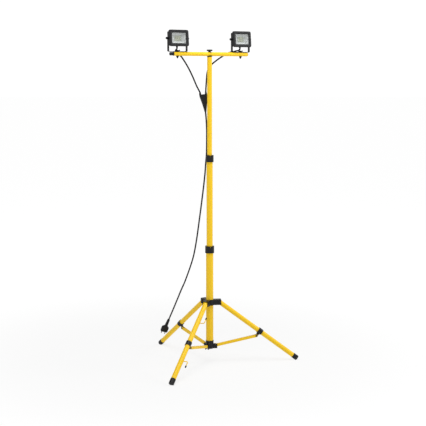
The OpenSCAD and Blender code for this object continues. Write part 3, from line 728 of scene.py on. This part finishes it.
hand_screw(
    "base_hand_screw", "base_screw", "base_collar_screw", 19.3, height_of("base_screw_turn"), COLLAR_SCREW_TURN, 9,
)
hand_screw(
    "mid_hand_screw", "mid_screw", "mid_collar_screw", 16.3, height_of("mid_screw_turn"), COLLAR_SCREW_TURN, 9,
)
hand_screw("hub_hand_screw", "hub_lock", "hub_screw", 21.5, height_of("hub_lock_turn"), HUB_SCREW_TURN, 8)
KNOB_SHANK = thread(4.85, -40, -12) + [(4.5, -11.9), (4.5, 9.9), (7.0, 10), (7.0, 14.2), (7.6, 15.1)]
KNOB_WHEEL = [(12.6, 15.2), (14.2, 15.8), (15.0, 17.2), (15.0, 20.4), (14.3, 21.9)]
KNOB_TOP = [(12.4, 22.8), (8.5, 23), (7.6, 22.3), (1.5, 22.2)]
wheel_from = len(KNOB_SHANK)
wheel_to = wheel_from + len(KNOB_WHEEL) - 1
knob = lathe(KNOB_SHANK + KNOB_WHEEL + KNOB_TOP, 84, flutes=7, depth=2.6, band=(wheel_from, wheel_to))
at_bar_centre = ON_MAST @ shift(0, 0, BAR_Z * 1000)
put("knob_fine", knob, "bar_knob", "black_plastic", "centre_knob", smooth=50, place=at_bar_centre)


# ---------------------------------------------------------------- cable hooks
# cable hooks in millimetres
HOOK_BEND = 7.0
HOOK_OUT = 36.5
HOOK_REACH = 31
HOOK_R = 2.25


def hook_line(start, way):
    """Rod line in the leg frame, in millimetres: out from the tube, round a bend, along the leg."""
    bend, out = HOOK_BEND, HOOK_OUT
    pts = [Vector((start, 11.6, 0)), Vector((start, out - bend, 0))]
    for k in range(1, 8):
        a = math.radians(90 * k / 8)
        pts.append(Vector((start + way * (bend - bend * math.cos(a)), out - bend + bend * math.sin(a), 0)))
    pts += [Vector((start + way * bend, out, 0)), Vector((start + way * HOOK_REACH, out, 0))]
    return [p * MM for p in pts]


HOOK_FOOT = [(4.0, 11.9), (3.8, 12.9), (3.1, 13.6), (2.3, 13.9)]
HOOK_SLEEVE = [(3.0, 25), (3.4, 25.5), (3.5, 26.2), (3.5, 35.2), (3.1, 36.4), (2.1, 37), (0.6, 37)]
hooks, tips = [], []
for start, way in ((131, -1), (379, 1)):
    hooks.append(loft(cord_rings(hook_line(start, way), 16, HOOK_R * MM)))
    hooks.append(moved(lathe(HOOK_FOOT, 24), shift(start, 0, 0) @ turn("X", -90)))
    tips.append(moved(lathe(HOOK_SLEEVE, 24), shift(start, HOOK_OUT, 0) @ turn("Y", way * 90)))
on_front = on_leg("front")
put("hooks_fine", merged(*hooks), "leg_front", "yellow_steel", "cable_hooks", smooth=50, place=on_front)
put("hook_sleeves", merged(*tips), "leg_front", "black_rubber", "hook_tips", smooth=50, place=on_front)


# ---------------------------------------------------------------- everything else from the CAD with soft edges
for node, width in {
    "base_tube": 0.3, "mid_tube": 0.3, "top_tube": 0.3, "mid_bush": 0.3, "top_bush": 0.3,
    "base_collar": 1.1, "mid_collar": 1.1, "lower_hub": 0.9, "upper_hub": 0.9, "leg_rivets": 0.5,
    "leg_right": 0.3, "leg_back": 0.3, "leg_front": 0.3,
    "clamp_right": 0.6, "clamp_back": 0.6, "clamp_front": 0.6,
    "foot_right": 1.3, "foot_back": 1.3, "foot_front": 1.3,
    "brace_right": 0.35, "brace_back": 0.35, "brace_front": 0.35,
    "cross_bar": 0.3, "bar_end_plugs": 0.4, "mast_cap": 0.5, "bolt_nuts": 0.4, "splitter": 1.4,
}.items():
    fine(node, width)


# ---------------------------------------------------------------- floor and light
def fade(tree, value, ends, strengths, target):
    """Drives a strength socket from a value: it goes smoothly from one strength to the other between the ends."""
    ramp = tree.nodes.new("ShaderNodeMapRange")
    ramp.interpolation_type = "SMOOTHSTEP"
    ramp.inputs["From Min"].default_value, ramp.inputs["From Max"].default_value = ends
    ramp.inputs["To Min"].default_value, ramp.inputs["To Max"].default_value = strengths
    tree.links.new(value, ramp.inputs["Value"])
    tree.links.new(ramp.outputs["Result"], target)


WHITE = (1.0, 1.0, 1.0, 1.0)
floor_bm = bmesh.new()
bmesh.ops.create_grid(floor_bm, x_segments=1, y_segments=1, size=60.0)
floor = link("floor", floor_bm)
pale = plain("pale floor", (0.13, 0.13, 0.13), 0.9)
pale_tree = pale.node_tree
pale_shader = pale_tree.nodes["Principled BSDF"]
pale_shader.inputs["Specular IOR Level"].default_value = 0.0
pale_shader.inputs["Emission Color"].default_value = WHITE
# the glow is a little weaker around the stand, so that soft shadows show there
floor_place = pale_tree.nodes.new("ShaderNodeTexCoord")
floor_reach = pale_tree.nodes.new("ShaderNodeVectorMath")
floor_reach.operation = "LENGTH"
pale_tree.links.new(floor_place.outputs["Object"], floor_reach.inputs[0])
fade(
    pale_tree, floor_reach.outputs["Value"], (GLOW_FROM, GLOW_TO), (GLOW_NEAR, GLOW_FAR),
    pale_shader.inputs["Emission Strength"],
)
floor.data.materials.append(pale)

world = bpy.data.worlds.new("studio")
bpy.context.scene.world = world
world.use_nodes = True
sky = world.node_tree
sky_place = sky.nodes.new("ShaderNodeTexCoord")
sky_axes = sky.nodes.new("ShaderNodeSeparateXYZ")
sky.links.new(sky_place.outputs["Generated"], sky_axes.inputs["Vector"])
background = sky.nodes["Background"]
fade(sky, sky_axes.outputs["Z"], (SKY_FROM, SKY_TO), (SKY_LOW, SKY_TOP), background.inputs["Strength"])
background.inputs["Color"].default_value = WHITE


def area(name, place, aim, size, power):
    """A round white softbox."""
    d = bpy.data.lights.new(name, "AREA")
    d.shape = "DISK"
    d.size = size
    d.energy = power
    o = bpy.data.objects.new(name, d)
    o.location = place
    o.rotation_euler = (Vector(aim) - Vector(place)).to_track_quat("-Z", "Y").to_euler()
    bpy.context.scene.collection.objects.link(o)


area("key", (2.9, -1.7, 2.6), (0, 0, 0.8), 1.6, KEY_POWER)
area("fill", (-1.9, -3.9, 2.6), (-0.15, -0.2, 0.3), 1.6, FILL_POWER)
area("top", (-0.5, -1.1, 4.4), (-0.1, -0.2, 0.3), 2.6, TOP_POWER)
bpy.context.scene.view_settings.view_transform = "Standard"
